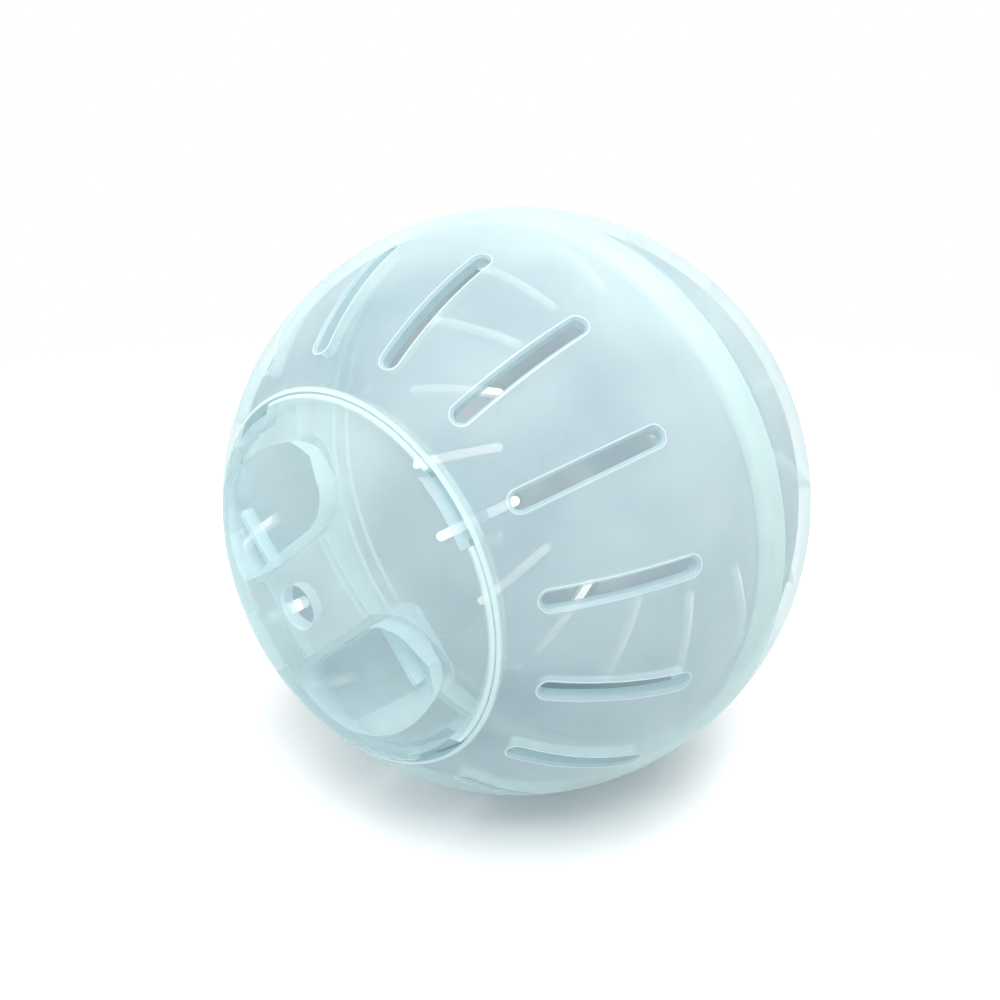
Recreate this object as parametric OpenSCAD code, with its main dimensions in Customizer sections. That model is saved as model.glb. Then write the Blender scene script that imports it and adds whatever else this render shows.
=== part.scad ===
// Hamster ball in two halves with a twist-off lid.
// Row frame in millimetres: centre of the ball at the origin, +Z up, lid facing -Y.
// Every piece is drawn about its own axis with local +Z towards the lid, then turned to lie down.

/* [Ball] */
// Outer radius of the ball
ball_r = 50; // [49:0.1:51]
// Wall thickness of both halves and of the lid
wall_t = 1.9; // [1.7:0.05:2.1]
// Depth at which flanges, ribs and arms end inside a wall
root_depth = 1; // [0.7:0.05:1.3]

/* [Joint between the halves] */
// Visible gap between the two halves
seam_gap = 0.1; // [0.05:0.01:0.3]
// Bevel on the outer edges of the seam
seam_bevel = 0.4; // [0.2:0.05:0.6]
// Thickness of the skin outside the spigot, at the seam
skin_t = 1.35; // [1.2:0.05:1.5]
// Clearance around the spigot
spigot_gap = 0.2; // [0.15:0.01:0.3]
// Thickness of the spigot
spigot_t = 1.15; // [0.9:0.05:1.3]
// Height of the spigot above the seam
spigot_h = 4.6; // [4:0.1:8]
// Lead-in bevel at the tip of the spigot
spigot_bevel = 0.4; // [0.2:0.05:0.6]
// Depth below the seam at which the root of the spigot starts to run out
root_h = 2.5; // [1.5:0.1:4]
// Length of the sloped run-out below the root of the spigot
root_run = 2; // [1:0.1:3]

/* [Air slots] */
// Number of slots in each half
slot_count = 16; // [12:2:18]
// Angle of the first slot about the axis of the ball
slot_turn = 10.5; // [8:0.5:11.5]
// Width of a slot
slot_w = 2.3; // [2:0.1:3]
// Distance between the opening and the inner end of a slot, square to the axis
slot_in_gap = 5; // [4:0.1:6]
// Distance between the outer end of a slot and the widest circle of the ball, square to the axis
slot_out_gap = 3.9; // [3.6:0.1:6]
// Width and depth of the bevel around a slot, outside
slot_bevel = 0.4; // [0.3:0.05:0.6]

/* [Opening and ledge] */
// Radius of the opening
opening_r = 28.4; // [28:0.1:29]
// Bevel around the opening
opening_bevel = 0.2; // [0.1:0.05:0.4]
// Width of the ledge inside the opening
ledge_w = 1.5; // [1.3:0.05:1.6]
// Thickness of the ledge
ledge_t = 1.2; // [1:0.05:1.3]
// Step from the inner end of the opening's wall up to the underside of the ledge
ledge_step = 0.08; // [0.05:0.01:0.15]
// Angle of the opening left in the ledge for each lug
entry_angle = 23.2; // [22:0.1:24]
// Distance of the stop ribs from the inner edge of the ledge
stop_inset = 0.3; // [0.1:0.05:0.5]
// Thickness of a stop rib
stop_t = 1.2; // [1:0.05:1.3]
// Height of the stop ribs below the ledge
stop_h = 1.4; // [1.2:0.05:1.8]
// Angle of the stop rib beside the resting lug
stop_start = 27.5; // [27:0.1:27.6]
// Angle of the stop rib that ends the turn of the lid
stop_end = 82; // [81:0.5:84]

/* [Lid] */
// Number of lugs, entry openings and notches
lug_count = 4; // [4:1:4]
// Angle of the first lug about the axis of the ball
lid_turn = 39.4; // [39.3:0.1:39.6]
// Clearance between the rim of the lid and the opening
lid_gap = 0.2; // [0.15:0.01:0.35]
// Gap between the lid and the ledge
seat_gap = 0.1; // [0.05:0.01:0.15]
// Bevel on the outer edge of the lid
lid_bevel = 0.2; // [0.1:0.05:0.4]
// Clearance between the arms and the ledge
arm_gap = 0.3; // [0.2:0.05:0.4]
// Thickness of the arms that carry the lugs
arm_t = 1.3; // [1.1:0.05:1.4]
// Step between the arms and the notches in the rim above the lugs
notch_step = 0.2; // [0.15:0.05:0.3]
// Clearance between the lugs and the opening
lug_gap = 0.35; // [0.25:0.05:0.5]
// Angle covered by a lug
lug_angle = 20; // [18:0.5:20.5]
// Clearance between the lugs and the underside of the ledge
lug_play = 0.2; // [0.15:0.05:0.3]
// Thickness of the lugs
lug_t = 2.4; // [2:0.05:2.6]
// Radius of the vent hole in the middle of the lid
vent_r = 3.1; // [2.6:0.1:3.4]
// Bevel around the vent hole
vent_bevel = 0.4; // [0.2:0.05:0.5]

/* [Finger pockets] */
// Half the width of the bridge between the pockets
bridge_half_w = 7.6; // [7:0.1:8]
// Half the length of a pocket
pocket_half_l = 13.4; // [12.5:0.1:13.8]
// Distance between the curved rim of a pocket and the opening
rim_margin = 6.1; // [5.8:0.1:6.5]
// Corner radius of the pockets at the bridge
pocket_corner_r = 4.5; // [3:0.1:5.2]
// Radius of the curve that takes the corners off between the ends of a pocket and its curved rim
pocket_end_r = 15.6; // [15:0.1:16.4]
// Distance between the centre of that curve and the middle of the lid
pocket_end_t = 8; // [7.6:0.1:8.6]
// Radius of the hollow edge between the floor and the walls of a pocket
pocket_fillet = 0.6; // [0.4:0.1:1]
// Depth of the pocket floor below the crown of the ball
pocket_depth = 7; // [6.6:0.1:7.4]
// Distance from the end of the floor to the curved rim, covered by the ramp
ramp_run = 4.1; // [3.6:0.1:4.6]
// Wall thickness of the pockets
pocket_wall = 1.2; // [1.1:0.05:1.4]

// Distance of the fin from the middle of the pocket
fin_s = 8.4; // [8:0.1:9]
// Thickness of the fin
fin_t = 0.9; // [0.8:0.05:1.1]
// Height of the fin above the pocket floor
fin_h = 2.1; // [1.5:0.1:3]
// Distance between the fin and the end of the pocket floor
fin_end_gap = 0.8; // [0.5:0.1:1.2]

/* [Ribs below the lid] */
// Thickness of the ribs
rib_t = 1.2; // [1:0.05:1.4]
// Distance of the ribs from the middle of the lid
rib_s = 8.9; // [7.8:0.1:9]
// Height of the ribs below the bridge
bridge_rib_h = 1.7; // [1.5:0.1:3]
// Height of the ribs between the pockets and the rim
gusset_h = 1.5; // [1:0.1:1.8]
// Length of these ribs inside the curved rim of a pocket
gusset_bite = 2.3; // [1.8:0.1:3]

/* [Hidden] */
$fn = 120;
over = 0.6;
inner_r = ball_r - wall_t;
root_sphere_r = ball_r - root_depth;
recess_r = ball_r - skin_t;
recess_h = spigot_h + spigot_gap;
spigot_r = recess_r - spigot_gap;
spigot_bore_r = spigot_r - spigot_t;
half_w = slot_w / 2;
slot_in_r = opening_r + slot_in_gap;
slot_out_r = ball_r - slot_out_gap;
slot_pitch = 360 / slot_count;
lug_pitch = 360 / lug_count;
slot_tip = asin(half_w / ball_r);
slot_in_turn = asin(slot_in_r / ball_r) + slot_tip;
slot_out_turn = asin(slot_out_r / ball_r) - slot_tip;
ledge_r = opening_r - ledge_w;
ledge_low_z = sqrt(inner_r * inner_r - opening_r * opening_r) + ledge_step;
ledge_z = ledge_low_z + ledge_t;
ledge_root_r = opening_r + root_depth / 2;
opening_z = sqrt(ball_r * ball_r - opening_r * opening_r);
lid_r = opening_r - lid_gap;
lid_edge_z = sqrt(ball_r * ball_r - lid_r * lid_r);
lid_low_z = ledge_z + seat_gap;
arm_out_r = ledge_r - arm_gap;
arm_r = arm_out_r - arm_t;
notch_r = arm_out_r + notch_step;
lug_r = opening_r - lug_gap;
lug_top_z = ledge_low_z - lug_play;
lug_z = lug_top_z - lug_t;
vent_z = sqrt(ball_r * ball_r - vent_r * vent_r);
pocket_rim_r = opening_r - rim_margin;
pocket_rim_z = sqrt(ball_r * ball_r - pocket_rim_r * pocket_rim_r);
floor_z = ball_r - pocket_depth;
ramp_start = pocket_rim_r - ramp_run;
ramp_slope = atan((pocket_rim_z - floor_z) / ramp_run);
ramp_drop = pocket_wall / cos(ramp_slope);
fin_end = ramp_start - fin_end_gap;
bridge_rib_half_l = bridge_half_w - pocket_wall / 2;
gusset_start = pocket_rim_r - gusset_bite;

// Turns a piece from its own axis into the row frame, local +Z becoming -Y
module lay_down() {
  rotate([90, 0, 0])
    children();
}

// Hollow half ball above the height given
module half_ball(low_z) {
  difference() {
    intersection() {
      sphere(r = ball_r);
      translate([0, 0, low_z])
        cylinder(r = ball_r + over, h = ball_r + over);
    }
    sphere(r = inner_r);
  }
}

// Outline of half a slot across its width, from the inside outwards
function slot_side() = [
  [half_w, inner_r - over],
  [half_w, ball_r - slot_bevel],
  [half_w + slot_bevel + over, ball_r + over]
];

// Section across a slot, with its bevels
module slot_section() {
  for (side = [0, 1]) {
    mirror([0, side])
      polygon(concat([[inner_r - over, 0]], [for (p = slot_side()) [p[1], p[0]]], [[ball_r + over, 0]]));
  }
}

// Round end of a slot at an angle from the axis of the ball
module slot_end(polar) {
  rotate([0, polar, 0])
    rotate_extrude()
      polygon(concat([[0, inner_r - over]], slot_side(), [[0, ball_r + over]]));
}

// One slot, square to the wall of the ball
module slot_cut() {
  rotate([90, 0, 0])
    rotate([0, 0, 90 - slot_out_turn])
      rotate_extrude(angle = slot_out_turn - slot_in_turn)
        slot_section();
  slot_end(slot_in_turn);
  slot_end(slot_out_turn);
}

// Ring of slots for one half
module slot_ring() {
  for (i = [0:slot_count - 1]) {
    rotate([0, 0, slot_turn + i * slot_pitch])
      slot_cut();
  }
}

// Bevel cut along the outer edge of the seam, for the half above it
module seam_cut() {
  rotate_extrude()
    polygon([
      [ball_r - seam_bevel, 0],
      [ball_r + over, 0],
      [ball_r + over, seam_gap / 2 + seam_bevel + over],
      [ball_r - seam_bevel, seam_gap / 2]
    ]);
}

// Flat ring between two radii, cut to a part of a turn centred on the X axis
module sector(r1, r2, z1, z2, span) {
  rotate([0, 0, -span / 2])
    rotate_extrude(angle = span)
      translate([r1, z1])
        square([r2 - r1, z2 - z1]);
}

// One stop rib below the ledge
module stop_rib() {
  translate([ledge_r + stop_inset, -stop_t / 2, ledge_low_z - stop_h])
    cube([ball_r - ledge_r - stop_inset, stop_t, stop_h + ledge_t / 2]);
}

// Ledge with its entry openings and the stop ribs below it
module ledge() {
  difference() {
    rotate_extrude()
      translate([ledge_r, ledge_low_z])
        square([ledge_root_r - ledge_r, ledge_t]);
    for (i = [0:lug_count - 1]) {
      rotate([0, 0, lid_turn + i * lug_pitch])
        sector(ledge_r - over, opening_r, ledge_low_z - over, ledge_z + over, entry_angle);
    }
  }
  intersection() {
    sphere(r = root_sphere_r);
    union() {
      for (i = [0:lug_count - 1]) {
        rotate([0, 0, stop_start + i * lug_pitch])
          stop_rib();
        rotate([0, 0, stop_end + i * lug_pitch])
          stop_rib();
      }
    }
  }
}

// Front half with the opening
module front_shell() {
  color([0.80, 0.89, 0.91, 0.6])
    lay_down()
      union() {
        difference() {
          half_ball(seam_gap / 2);
          cylinder(r = opening_r, h = ball_r + over);
          cylinder(r = recess_r, h = recess_h);
          rotate_extrude()
            polygon([
              [opening_r - over, opening_z - opening_bevel - over],
              [opening_r + opening_bevel + over, opening_z + over],
              [opening_r - over, opening_z + over]
            ]);
          slot_ring();
          seam_cut();
        }
        ledge();
      }
}

// Rear half with the spigot
module rear_shell() {
  color([0.78, 0.87, 0.90, 0.6])
    lay_down()
      union() {
        mirror([0, 0, 1])
          difference() {
            half_ball(seam_gap / 2);
            slot_ring();
            seam_cut();
          }
        rotate_extrude()
          polygon([
            [spigot_bore_r, -root_h],
            [inner_r, -root_h - root_run],
            [spigot_r, -root_h - root_run],
            [spigot_r, spigot_h - spigot_bevel],
            [spigot_r - spigot_bevel, spigot_h],
            [spigot_bore_r, spigot_h]
          ]);
      }
}

// Plan of a pocket, or of its outer wall when grown by the wall thickness
module pocket_plan(grow) {
  corner = pocket_corner_r + grow;
  half_l = pocket_half_l + grow;
  near = bridge_half_w - grow;
  intersection() {
    circle(r = pocket_rim_r + grow);
    translate([0, pocket_end_t])
      circle(r = pocket_end_r + grow);
    union() {
      translate([-half_l + corner, near])
        square([2 * (half_l - corner), ball_r]);
      translate([-half_l, near + corner])
        square([2 * half_l, ball_r]);
      for (side = [-1, 1]) {
        translate([side * (half_l - corner), near + corner])
          circle(r = corner);
      }
    }
  }
}

// Section across the length of a pocket, with rounded lower edges
module cross_plan(grow) {
  corner = pocket_fillet + grow;
  half_l = pocket_half_l + grow;
  low = floor_z - grow;
  translate([-half_l, low + corner])
    square([2 * half_l, ball_r]);
  translate([-half_l + corner, low])
    square([2 * (half_l - corner), ball_r]);
  translate([-half_l + corner, low + corner])
    circle(r = corner);
  translate([half_l - corner, low + corner])
    circle(r = corner);
}

// Section along the middle of a pocket, with the rounded edge at the bridge, the floor and the ramp
module long_plan(grow, slope_drop) {
  corner = pocket_fillet + grow;
  near = bridge_half_w - grow;
  low = floor_z - grow;
  rise = (ball_r - ramp_start) * tan(ramp_slope);
  bend = ramp_start + (slope_drop - grow) / tan(ramp_slope);
  translate([near + corner, low + corner])
    circle(r = corner);
  translate([near, low + corner])
    square([corner, ball_r]);
  polygon([
    [near + corner, low],
    [bend, low],
    [ball_r, floor_z - slope_drop + rise],
    [ball_r, ball_r + floor_z],
    [near + corner, ball_r + floor_z]
  ]);
}

// Space of one pocket, or the outer body around it when grown by the wall thickness
module pocket_form(grow, slope_drop) {
  intersection() {
    linear_extrude(height = ball_r + over)
      pocket_plan(grow);
    translate([0, ball_r, 0])
      rotate([90, 0, 0])
        linear_extrude(height = ball_r)
          cross_plan(grow);
    translate([-ball_r, 0, 0])
      rotate([90, 0, 90])
        linear_extrude(height = 2 * ball_r)
          long_plan(grow, slope_drop);
  }
}

// Lug on its arm, standing on the X axis
module lug() {
  intersection() {
    sphere(r = root_sphere_r);
    rotate([0, 0, -lug_angle / 2])
      rotate_extrude(angle = lug_angle)
        polygon([
          [arm_r, lug_z],
          [lug_r, lug_z],
          [lug_r, lug_top_z],
          [arm_out_r, lug_top_z],
          [arm_out_r, ball_r],
          [arm_r, ball_r]
        ]);
  }
}

// Skin of the lid with its flat rim and the notches
module cap() {
  difference() {
    intersection() {
      sphere(r = ball_r);
      translate([0, 0, lid_low_z])
        cylinder(r = lid_r, h = ball_r);
    }
    sphere(r = inner_r);
    for (i = [0:lug_count - 1]) {
      rotate([0, 0, i * lug_pitch])
        sector(notch_r, opening_r + over, lid_low_z - over, ball_r, entry_angle);
    }
    rotate_extrude()
      polygon([
        [lid_r + over, lid_edge_z - lid_bevel - over],
        [lid_r - lid_bevel - over, lid_edge_z + over],
        [lid_r + over, lid_edge_z + over]
      ]);
  }
}

// Low fin on the floor of one pocket, between the bridge and the ramp
module fin() {
  translate([-fin_s - fin_t / 2, bridge_rib_half_l, floor_z - pocket_wall / 2])
    cube([fin_t, fin_end - bridge_rib_half_l, pocket_wall / 2 + fin_h]);
}

// Ribs below the bridge, following the skin of the lid
module bridge_ribs() {
  difference() {
    intersection() {
      sphere(r = root_sphere_r);
      for (side = [-1, 1]) {
        translate([side * rib_s - rib_t / 2, -bridge_rib_half_l, 0])
          cube([rib_t, 2 * bridge_rib_half_l, ball_r]);
      }
    }
    sphere(r = inner_r - bridge_rib_h);
  }
}

// Ribs between the pockets and the rim, following the skin of the lid
module gussets() {
  difference() {
    intersection() {
      sphere(r = root_sphere_r);
      cylinder(r = arm_out_r, h = ball_r);
      for (turn = [0, 180]) {
        rotate([0, 0, turn])
          for (side = [-1, 1]) {
            translate([side * rib_s - rib_t / 2, gusset_start, 0])
              cube([rib_t, ball_r, ball_r]);
          }
      }
    }
    sphere(r = inner_r - gusset_h);
  }
}

// Lid with pockets, ribs, lugs and vent hole
module lid() {
  color([0.84, 0.92, 0.93, 0.6])
    lay_down()
      rotate([0, 0, lid_turn])
        union() {
          difference() {
            union() {
              cap();
              for (turn = [0, 180]) {
                rotate([0, 0, turn])
                  intersection() {
                    sphere(r = ball_r);
                    pocket_form(pocket_wall, ramp_drop);
                  }
              }
              for (i = [0:lug_count - 1]) {
                rotate([0, 0, i * lug_pitch])
                  lug();
              }
              bridge_ribs();
              gussets();
            }
            for (turn = [0, 180]) {
              rotate([0, 0, turn])
                pocket_form(0, 0);
            }
            translate([0, 0, inner_r - over])
              cylinder(r = vent_r, h = ball_r);
            translate([0, 0, vent_z - vent_bevel])
              cylinder(r1 = vent_r, r2 = vent_r + vent_bevel + over, h = vent_bevel + over);
          }
          for (turn = [0, 180]) {
            rotate([0, 0, turn])
              fin();
          }
        }
}

front_shell();
rear_shell();
lid();
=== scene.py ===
# Looks of the hamster ball: translucent plastic, soft studio light and the photograph's viewing angle.
# Lengths are in metres and angles in radians. The lid faces -Y and the floor is 50 mm below the ball's centre.

import math

import bpy
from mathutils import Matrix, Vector

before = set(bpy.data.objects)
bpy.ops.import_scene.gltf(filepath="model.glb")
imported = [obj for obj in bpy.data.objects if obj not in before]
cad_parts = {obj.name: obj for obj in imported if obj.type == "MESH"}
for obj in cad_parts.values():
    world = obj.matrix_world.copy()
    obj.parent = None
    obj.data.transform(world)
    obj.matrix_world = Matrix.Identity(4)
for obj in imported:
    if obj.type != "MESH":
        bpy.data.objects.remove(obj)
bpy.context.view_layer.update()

MM = 0.001

# The ball, in the same sizes as the solids
BALL_R = 50 * MM
INNER_R = 48.1 * MM
MID_WALL_R = (BALL_R + INNER_R) / 2
OPENING_R = 28.4 * MM

# The air slots: 16 around the axis on each half, and the angles from the axis where their straight parts end
SLOT_PITCH = 2 * math.pi / 16
SLOT_TURN = math.radians(10.5)
SLOT_HALF_W = 1.15 * MM
SLOT_TIP = math.asin(SLOT_HALF_W / BALL_R)
SLOT_IN_TURN = math.asin(33.4 * MM / BALL_R) + SLOT_TIP
SLOT_OUT_TURN = math.asin(46.1 * MM / BALL_R) - SLOT_TIP

# The camera, from the ball's outline, its seam circle and its opening in the photograph
CAMERA_AWAY = 165 * MM
CAMERA_SIDE = math.asin(0.6118)
CAMERA_RISE = math.atan2(0.2952, 0.7339)
SENSOR = 36.0
FOCAL_PIXELS = 926.0
IMAGE_PIXELS = 1000.0
SHIFT_X = -0.0167
SHIFT_Y = 0.001


class Nodes:
    """Short calls that add shader nodes to one node tree and link them."""

    def __init__(self, tree):
        self.tree = tree
        tree.nodes.clear()

    def add(self, kind, **settings):
        node = self.tree.nodes.new(kind)
        for name, value in settings.items():
            setattr(node, name, value)
        return node

    def put(self, socket, value):
        """Links a socket, or writes a number or a colour into it. None leaves it alone."""
        if isinstance(value, bpy.types.NodeSocket):
            self.tree.links.new(value, socket)
        elif value is not None:
            socket.default_value = value

    def math(self, operation, a, b=None, c=None):
        node = self.add("ShaderNodeMath", operation=operation)
        for socket, value in zip(node.inputs, (a, b, c)):
            self.put(socket, value)
        return node.outputs[0]

    def blend(self, share, a, b):
        """The number a where share is 0 and b where it is 1."""
        return self.math("ADD", a, self.math("MULTIPLY", share, self.math("SUBTRACT", b, a)))

    def vector(self, operation, a, b=None):
        node = self.add("ShaderNodeVectorMath", operation=operation)
        self.put(node.inputs[0], a)
        self.put(node.inputs[1], b)
        return node.outputs["Value" if operation in ("DOT_PRODUCT", "LENGTH") else "Vector"]

    def axes(self, vector):
        """The x, y and z of a vector."""
        node = self.add("ShaderNodeSeparateXYZ")
        self.put(node.inputs[0], vector)
        return node.outputs

    def ramp(self, value, low, high, out_low=0.0, out_high=1.0):
        """A smooth step of value between low and high."""
        node = self.add("ShaderNodeMapRange", interpolation_type="SMOOTHSTEP")
        for socket, number in zip(node.inputs, (value, low, high, out_low, out_high)):
            self.put(socket, number)
        return node.outputs["Result"]

    def colour(self, share, a, b):
        """The colour a where share is 0 and b where it is 1."""
        node = self.add("ShaderNodeMix", data_type="RGBA")
        self.put(node.inputs[0], share)
        self.put(node.inputs[6], a)
        self.put(node.inputs[7], b)
        return node.outputs[2]

    def noise(self, place, scale, detail, roughness):
        node = self.add("ShaderNodeTexNoise")
        for name, value in (("Vector", place), ("Scale", scale),
                            ("Detail", detail), ("Roughness", roughness)):
            self.put(node.inputs[name], value)
        return node.outputs["Fac"]

    def mix(self, share, a, b):
        """One shader where share is 0 and the other where it is 1."""
        node = self.add("ShaderNodeMixShader")
        for socket, value in zip(node.inputs, (share, a.outputs[0], b.outputs[0])):
            self.put(socket, value)
        return node

    def finish(self, kind, shader):
        self.put(self.add(kind).inputs["Surface"], shader.outputs[0])


def rgba(red, green, blue):
    """A colour as seen on a screen, from 0 to 255, as linear light."""
    def linear(level):
        share = level / 255
        return share / 12.92 if share <= 0.04045 else ((share + 0.055) / 1.055) ** 2.4
    return (linear(red), linear(green), linear(blue), 1.0)


# Colours of the plastic
SKIN_TONE = rgba(229, 245, 245)
# The two inside colours are painted shade: inner faces of the same plastic are darker than the skin, standing in
# for the dim light inside the ball.
INSIDE_PAINTED_SHADE = rgba(144, 171, 183)
LID_INSIDE_PAINTED_SHADE = rgba(206, 227, 229)
# The cut colour is a little darker than the skin: painted shade that tones down slot walls and bevels facing the
# lamps.
CUT_PAINTED_SHADE_TONE = rgba(214, 234, 237)
# The rim colour goes with a denser band on the skin along the slots and the opening: a painted edge glow.
PAINTED_GLOW_TONE = rgba(229, 245, 244)
LIP_TONE = rgba(230, 245, 243)

# Densities: 0 is clear and 1 is opaque. Each plastic has one for its skin, its inside and its cut faces
FRONT_DENSITIES = (0.38, 0.62, 0.48)
REAR_DENSITIES = (0.33, 0.66, 0.46)
LID_DENSITIES = (0.28, 0.35, 0.50)
# The rim density makes the painted edge glow along the slots and the opening.
PAINTED_GLOW_DENSITY = 0.74
GRAZING_DENSITY = 0.16

# A face counts as cut where the cosine of its angle with the ball's own skin falls from the second to the first
CUT_COSINES = (0.86, 0.97)

# The cloudy tone of the plastic: noise scale, noise range and the density added at its ends
HAZE_SCALE = 42.0
HAZE_RANGE = (0.30, 0.70, -0.07, 0.09)

# The skin is milkier near the seam than near the poles: distances from the seam and the density added there
SEAM_MILK = (6 * MM, 38 * MM, 0.09, -0.08)

# Where the two halves overlap at the seam: y of the zone's two ends, share of the lip there, and its density
SPIGOT_LIP = (-0.05 * MM, 0.25 * MM, 1.0, 0.0, 0.66)
SOCKET_LIP = (-4.90 * MM, -4.50 * MM, 0.0, 1.0, 0.36)

# The painted edge glow at the rims of the slots and of the opening, a denser and whiter band on the skin: width,
# and how far each fades out beyond that
SLOT_PAINTED_GLOW = (0.40 * MM, 0.55 * MM)
OPENING_PAINTED_GLOW = (0.45 * MM, 0.60 * MM)

# How the clear part of the plastic colours what is behind it, seen square on and seen along the skin
CLEAR_TONE = (0.97, 0.988, 0.992, 1.0)
CLEAR_TONE_GRAZING = (0.80, 0.88, 0.885, 1.0)
GRAZING_BLEND = 0.30

# The surface: fine grain, soft waves, gloss and the share of light that passes through the milky part
GRAIN_SCALE = 1400.0
GRAIN_HEIGHT = 0.02
WAVE_SCALE = 110.0
BUMP_STRENGTH = 0.25
BUMP_DEPTH = 0.08 * MM
ROUGHNESS_RANGE = (0.35, 0.75, 0.28, 0.40)
PLASTIC_IOR = 1.49
THROUGH_SHARE = 0.30

# The floor and the background
FLOOR_HALF = 1.2
FLOOR_FADE = (0.12, 0.45)
FLOOR_TONE = (0.80, 0.81, 0.81, 1.0)
FLOOR_TONE_SEEN = (0.92, 0.92, 0.92, 1.0)
WORLD_LIGHT = (-0.5, 0.9, 0.40, 0.66)
WHITE = (1.0, 1.0, 1.0, 1.0)


def slot_distance(n, place):
    """Distance along the skin from the edge of the nearest air slot."""
    x, y, z = n.axes(place)
    turn = n.math("SUBTRACT", n.math("ARCTAN2", z, x), SLOT_TURN)
    folded = n.math("WRAP", turn, SLOT_PITCH / 2, -SLOT_PITCH / 2)
    radius = n.math("SQRT", n.math("ADD", n.math("MULTIPLY", x, x), n.math("MULTIPLY", z, z)))
    across = n.math("MULTIPLY", radius, n.math("SINE", folded))
    outward = n.math("MULTIPLY", radius, n.math("COSINE", folded))
    polar = n.math("ARCTAN2", outward, n.math("ABSOLUTE", y))
    off_middle = n.math("ABSOLUTE", n.math("SUBTRACT", polar, (SLOT_IN_TURN + SLOT_OUT_TURN) / 2))
    past_end = n.math("SUBTRACT", off_middle, (SLOT_OUT_TURN - SLOT_IN_TURN) / 2)
    along = n.math("MULTIPLY", n.math("MAXIMUM", past_end, 0.0), BALL_R)
    squares = n.math("ADD", n.math("MULTIPLY", across, across), n.math("MULTIPLY", along, along))
    return n.math("SUBTRACT", n.math("SQRT", squares), SLOT_HALF_W)


def opening_distance(n, place):
    """Distance from the edge of the round opening, square to the ball's axis."""
    radius = n.vector("LENGTH", n.vector("MULTIPLY", place, (1.0, 0.0, 1.0)))
    return n.math("ABSOLUTE", n.math("SUBTRACT", radius, OPENING_R))


def density_and_tone(n, coordinates, moved, grazing, densities, inside_painted_shade, painted_glow_rims, lip_zone):
    """How dense and what colour the plastic is at each point, with painted shade on the inner and cut faces and a
    painted edge glow along the rims.
    """
    outer_density, inner_density, cut_density = densities
    place = coordinates.outputs["Object"]
    outward = n.vector("NORMALIZE", place)
    along_skin = n.math("ABSOLUTE", n.vector("DOT_PRODUCT", outward, coordinates.outputs["Normal"]))
    cut = n.ramp(along_skin, *CUT_COSINES, 1.0, 0.0)
    outside = n.math("GREATER_THAN", n.vector("LENGTH", place), MID_WALL_R)
    along_axis = n.axes(place)[1]

    density = n.math("ADD", inner_density, n.math("MULTIPLY", outside, outer_density - inner_density))
    haze = n.noise(moved, HAZE_SCALE, 2.0, 0.5)
    density = n.math("ADD", density, n.ramp(haze, *HAZE_RANGE))
    seam_milk = n.ramp(n.math("ABSOLUTE", along_axis), *SEAM_MILK)
    density = n.math("ADD", density, n.math("MULTIPLY", seam_milk, outside))
    density = n.math("ADD", density, n.math("MULTIPLY", grazing, GRAZING_DENSITY))
    density = n.blend(cut, density, cut_density)
    # Inner faces take the darker inside colour: painted shade for the dim inside of the ball.
    tone = n.colour(outside, inside_painted_shade, SKIN_TONE)
    # Cut faces are denser, like the thicker plastic seen along walls and ribs, and take a darker colour as painted
    # shade on walls and bevels that catch the lamps.
    tone = n.colour(cut, tone, CUT_PAINTED_SHADE_TONE)
    if lip_zone:
        *zone, lip_density = lip_zone
        lip = n.math("MULTIPLY", n.ramp(along_axis, *zone), n.math("SUBTRACT", 1.0, outside))
        density = n.blend(lip, density, lip_density)
        tone = n.colour(lip, tone, LIP_TONE)
    # Along the slots and the opening the skin is made denser and whiter: a painted edge glow.
    for distance, (width, fade) in painted_glow_rims:
        painted_glow = n.ramp(distance(n, place), width, width + fade, 1.0, 0.0)
        painted_glow = n.math("MULTIPLY", painted_glow, n.math("MULTIPLY", outside, n.math("SUBTRACT", 1.0, cut)))
        density = n.math("MAXIMUM", density, n.math("MULTIPLY", painted_glow, PAINTED_GLOW_DENSITY))
        tone = n.colour(painted_glow, tone, PAINTED_GLOW_TONE)
    return density, tone


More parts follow.
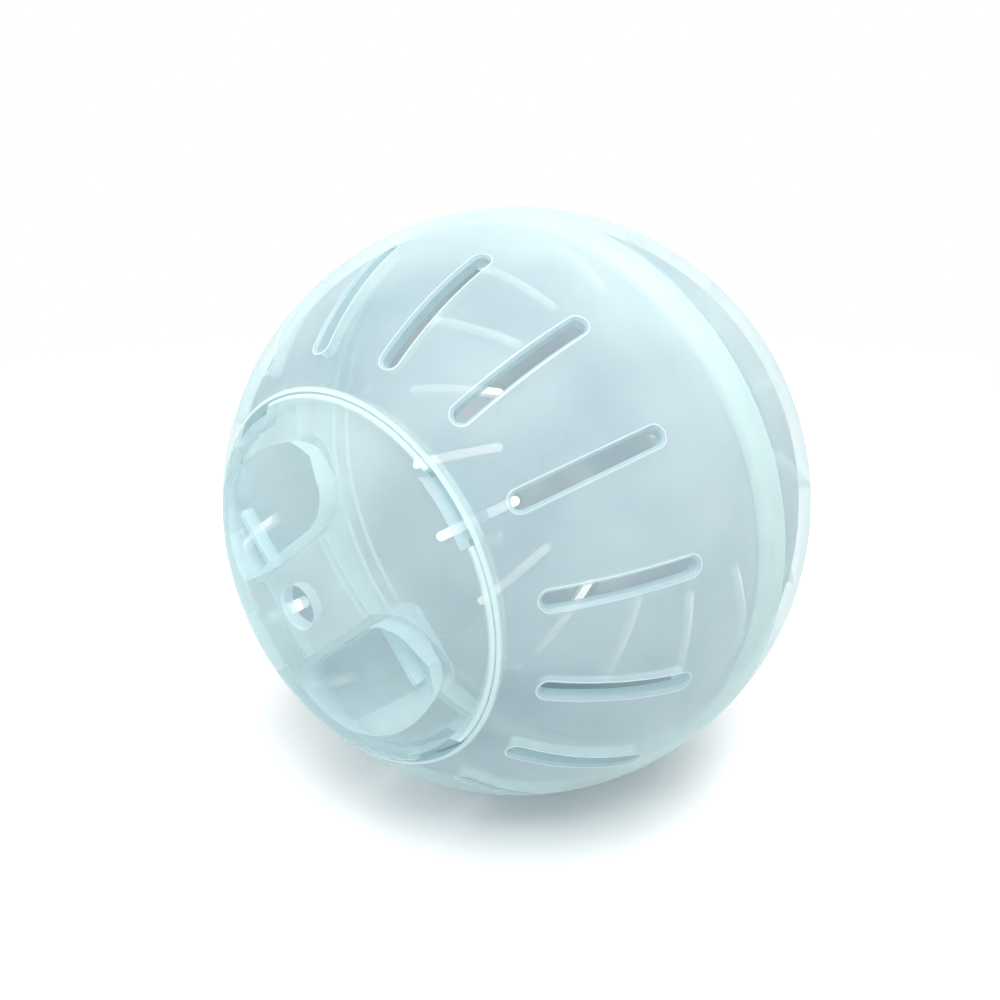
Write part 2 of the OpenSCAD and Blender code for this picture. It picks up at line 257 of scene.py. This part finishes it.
def milky_plastic(name, seed, densities, inside_painted_shade, painted_glow_rims, lip_zone=None):
    """Translucent polypropylene. Its cut faces, rims and seam lip are denser than the skin; its inner and cut
    faces carry painted shade, and its rims a denser, whiter painted edge glow.
    """
    material = bpy.data.materials.new(name)
    material.use_nodes = True
    n = Nodes(material.node_tree)
    coordinates = n.add("ShaderNodeTexCoord")
    moved = n.vector("ADD", coordinates.outputs["Object"], (seed, 0.37 * seed, -seed))
    facing = n.add("ShaderNodeLayerWeight")
    n.put(facing.inputs["Blend"], GRAZING_BLEND)
    grazing = n.math("POWER", facing.outputs["Facing"], 2.0)
    density, tone = density_and_tone(n, coordinates, moved, grazing, densities, inside_painted_shade, painted_glow_rims, lip_zone)

    grain = n.noise(moved, GRAIN_SCALE, 2.0, 0.6)
    waves = n.noise(moved, WAVE_SCALE, 1.0, 0.4)
    bump = n.add("ShaderNodeBump")
    n.put(bump.inputs["Strength"], BUMP_STRENGTH)
    n.put(bump.inputs["Distance"], BUMP_DEPTH)
    n.put(bump.inputs["Height"], n.math("ADD", waves, n.math("MULTIPLY", grain, GRAIN_HEIGHT)))

    skin = n.add("ShaderNodeBsdfPrincipled")
    n.put(skin.inputs["Base Color"], tone)
    n.put(skin.inputs["Roughness"], n.ramp(grain, *ROUGHNESS_RANGE))
    n.put(skin.inputs["IOR"], PLASTIC_IOR)
    n.put(skin.inputs["Normal"], bump.outputs["Normal"])
    through = n.add("ShaderNodeBsdfTranslucent")
    n.put(through.inputs["Color"], tone)
    milk = n.mix(THROUGH_SHARE, skin, through)
    clear = n.add("ShaderNodeBsdfTransparent")
    n.put(clear.inputs["Color"], n.colour(grazing, CLEAR_TONE, CLEAR_TONE_GRAZING))
    n.finish("ShaderNodeOutputMaterial", n.mix(density, clear, milk))
    return material


def dress(node, material):
    """Gives every face of a CAD node one material."""
    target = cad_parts[node]
    for slot in target.material_slots:
        slot.material = material
    if not target.material_slots:
        target.data.materials.append(material)


def dress_ball():
    # Each plastic gets a painted edge glow along its slots, its opening, or both.
    slots = (slot_distance, SLOT_PAINTED_GLOW)
    opening = (opening_distance, OPENING_PAINTED_GLOW)
    front = milky_plastic("front_plastic", 0.11, FRONT_DENSITIES, INSIDE_PAINTED_SHADE, (slots, opening), SOCKET_LIP)
    dress("front_shell", front)
    dress("rear_shell", milky_plastic("rear_plastic", 0.53, REAR_DENSITIES, INSIDE_PAINTED_SHADE, (slots,), SPIGOT_LIP))
    dress("lid", milky_plastic("lid_plastic", 0.29, LID_DENSITIES, LID_INSIDE_PAINTED_SHADE, (opening,)))


def make_floor():
    """A pale floor that fades into the background in a circle and keeps the ball's shadow."""
    mesh = bpy.data.meshes.new("floor")
    corners = [(x * FLOOR_HALF, y * FLOOR_HALF, -BALL_R) for x, y in ((-1, -1), (1, -1), (1, 1), (-1, 1))]
    mesh.from_pydata(corners, [], [(0, 1, 2, 3)])
    floor = bpy.data.objects.new("floor", mesh)
    bpy.context.scene.collection.objects.link(floor)
    material = bpy.data.materials.new("pale_floor")
    material.use_nodes = True
    n = Nodes(material.node_tree)
    place = n.add("ShaderNodeTexCoord").outputs["Object"]
    away = n.vector("LENGTH", n.vector("MULTIPLY", place, (1.0, 1.0, 0.0)))
    seen = n.add("ShaderNodeLightPath").outputs["Is Camera Ray"]
    paper = n.add("ShaderNodeBsdfDiffuse")
    n.put(paper.inputs["Color"], n.colour(seen, FLOOR_TONE, FLOOR_TONE_SEEN))
    clear = n.add("ShaderNodeBsdfTransparent")
    n.finish("ShaderNodeOutputMaterial", n.mix(n.ramp(away, *FLOOR_FADE), paper, clear))
    mesh.materials.append(material)


def make_world():
    """A white background, which lights the ball more softly than it looks, and from above more than from below."""
    world = bpy.data.worlds.new("studio")
    bpy.context.scene.world = world
    world.use_nodes = True
    n = Nodes(world.node_tree)
    path = n.add("ShaderNodeLightPath")
    seen = n.math("MAXIMUM", path.outputs["Is Camera Ray"], path.outputs["Is Transmission Ray"])
    seen = n.math("MAXIMUM", seen, path.outputs["Is Glossy Ray"])
    height = n.axes(n.add("ShaderNodeTexCoord").outputs["Generated"])[2]
    background = n.add("ShaderNodeBackground")
    n.put(background.inputs["Color"], WHITE)
    n.put(background.inputs["Strength"], n.blend(seen, n.ramp(height, *WORLD_LIGHT), 1.0))
    n.finish("ShaderNodeOutputWorld", background)


def make_lamp(name, place, size, power):
    """A square soft box that looks at the ball."""
    data = bpy.data.lights.new(name, "AREA")
    data.shape = "SQUARE"
    data.size = size
    data.energy = power
    lamp = bpy.data.objects.new(name, data)
    lamp.location = place
    lamp.rotation_euler = (-Vector(place)).to_track_quat("-Z", "Y").to_euler()
    bpy.context.scene.collection.objects.link(lamp)


def make_camera():
    sight = Vector((math.sin(CAMERA_SIDE) * math.cos(CAMERA_RISE),
                    -math.cos(CAMERA_SIDE) * math.cos(CAMERA_RISE),
                    math.sin(CAMERA_RISE)))
    data = bpy.data.cameras.new("camera")
    camera = bpy.data.objects.new("camera", data)
    camera.location = sight * CAMERA_AWAY
    camera.rotation_euler = (-sight).to_track_quat("-Z", "Y").to_euler()
    data.sensor_width = SENSOR
    data.lens = SENSOR * FOCAL_PIXELS / IMAGE_PIXELS
    data.shift_x = SHIFT_X
    data.shift_y = SHIFT_Y
    data.clip_start = 1 * MM
    bpy.context.scene.collection.objects.link(camera)
    bpy.context.scene.camera = camera


bpy.context.scene.view_settings.view_transform = "Standard"
make_camera()
make_world()
make_lamp("key_box", (0.18, -0.20, 0.48), 0.30, 3.0)
make_lamp("side_box", (0.06, 0.26, 0.50), 0.35, 1.2)
make_lamp("fill_box", (-0.44, -0.26, 0.10), 0.40, 1.2)
make_floor()
dress_ball()
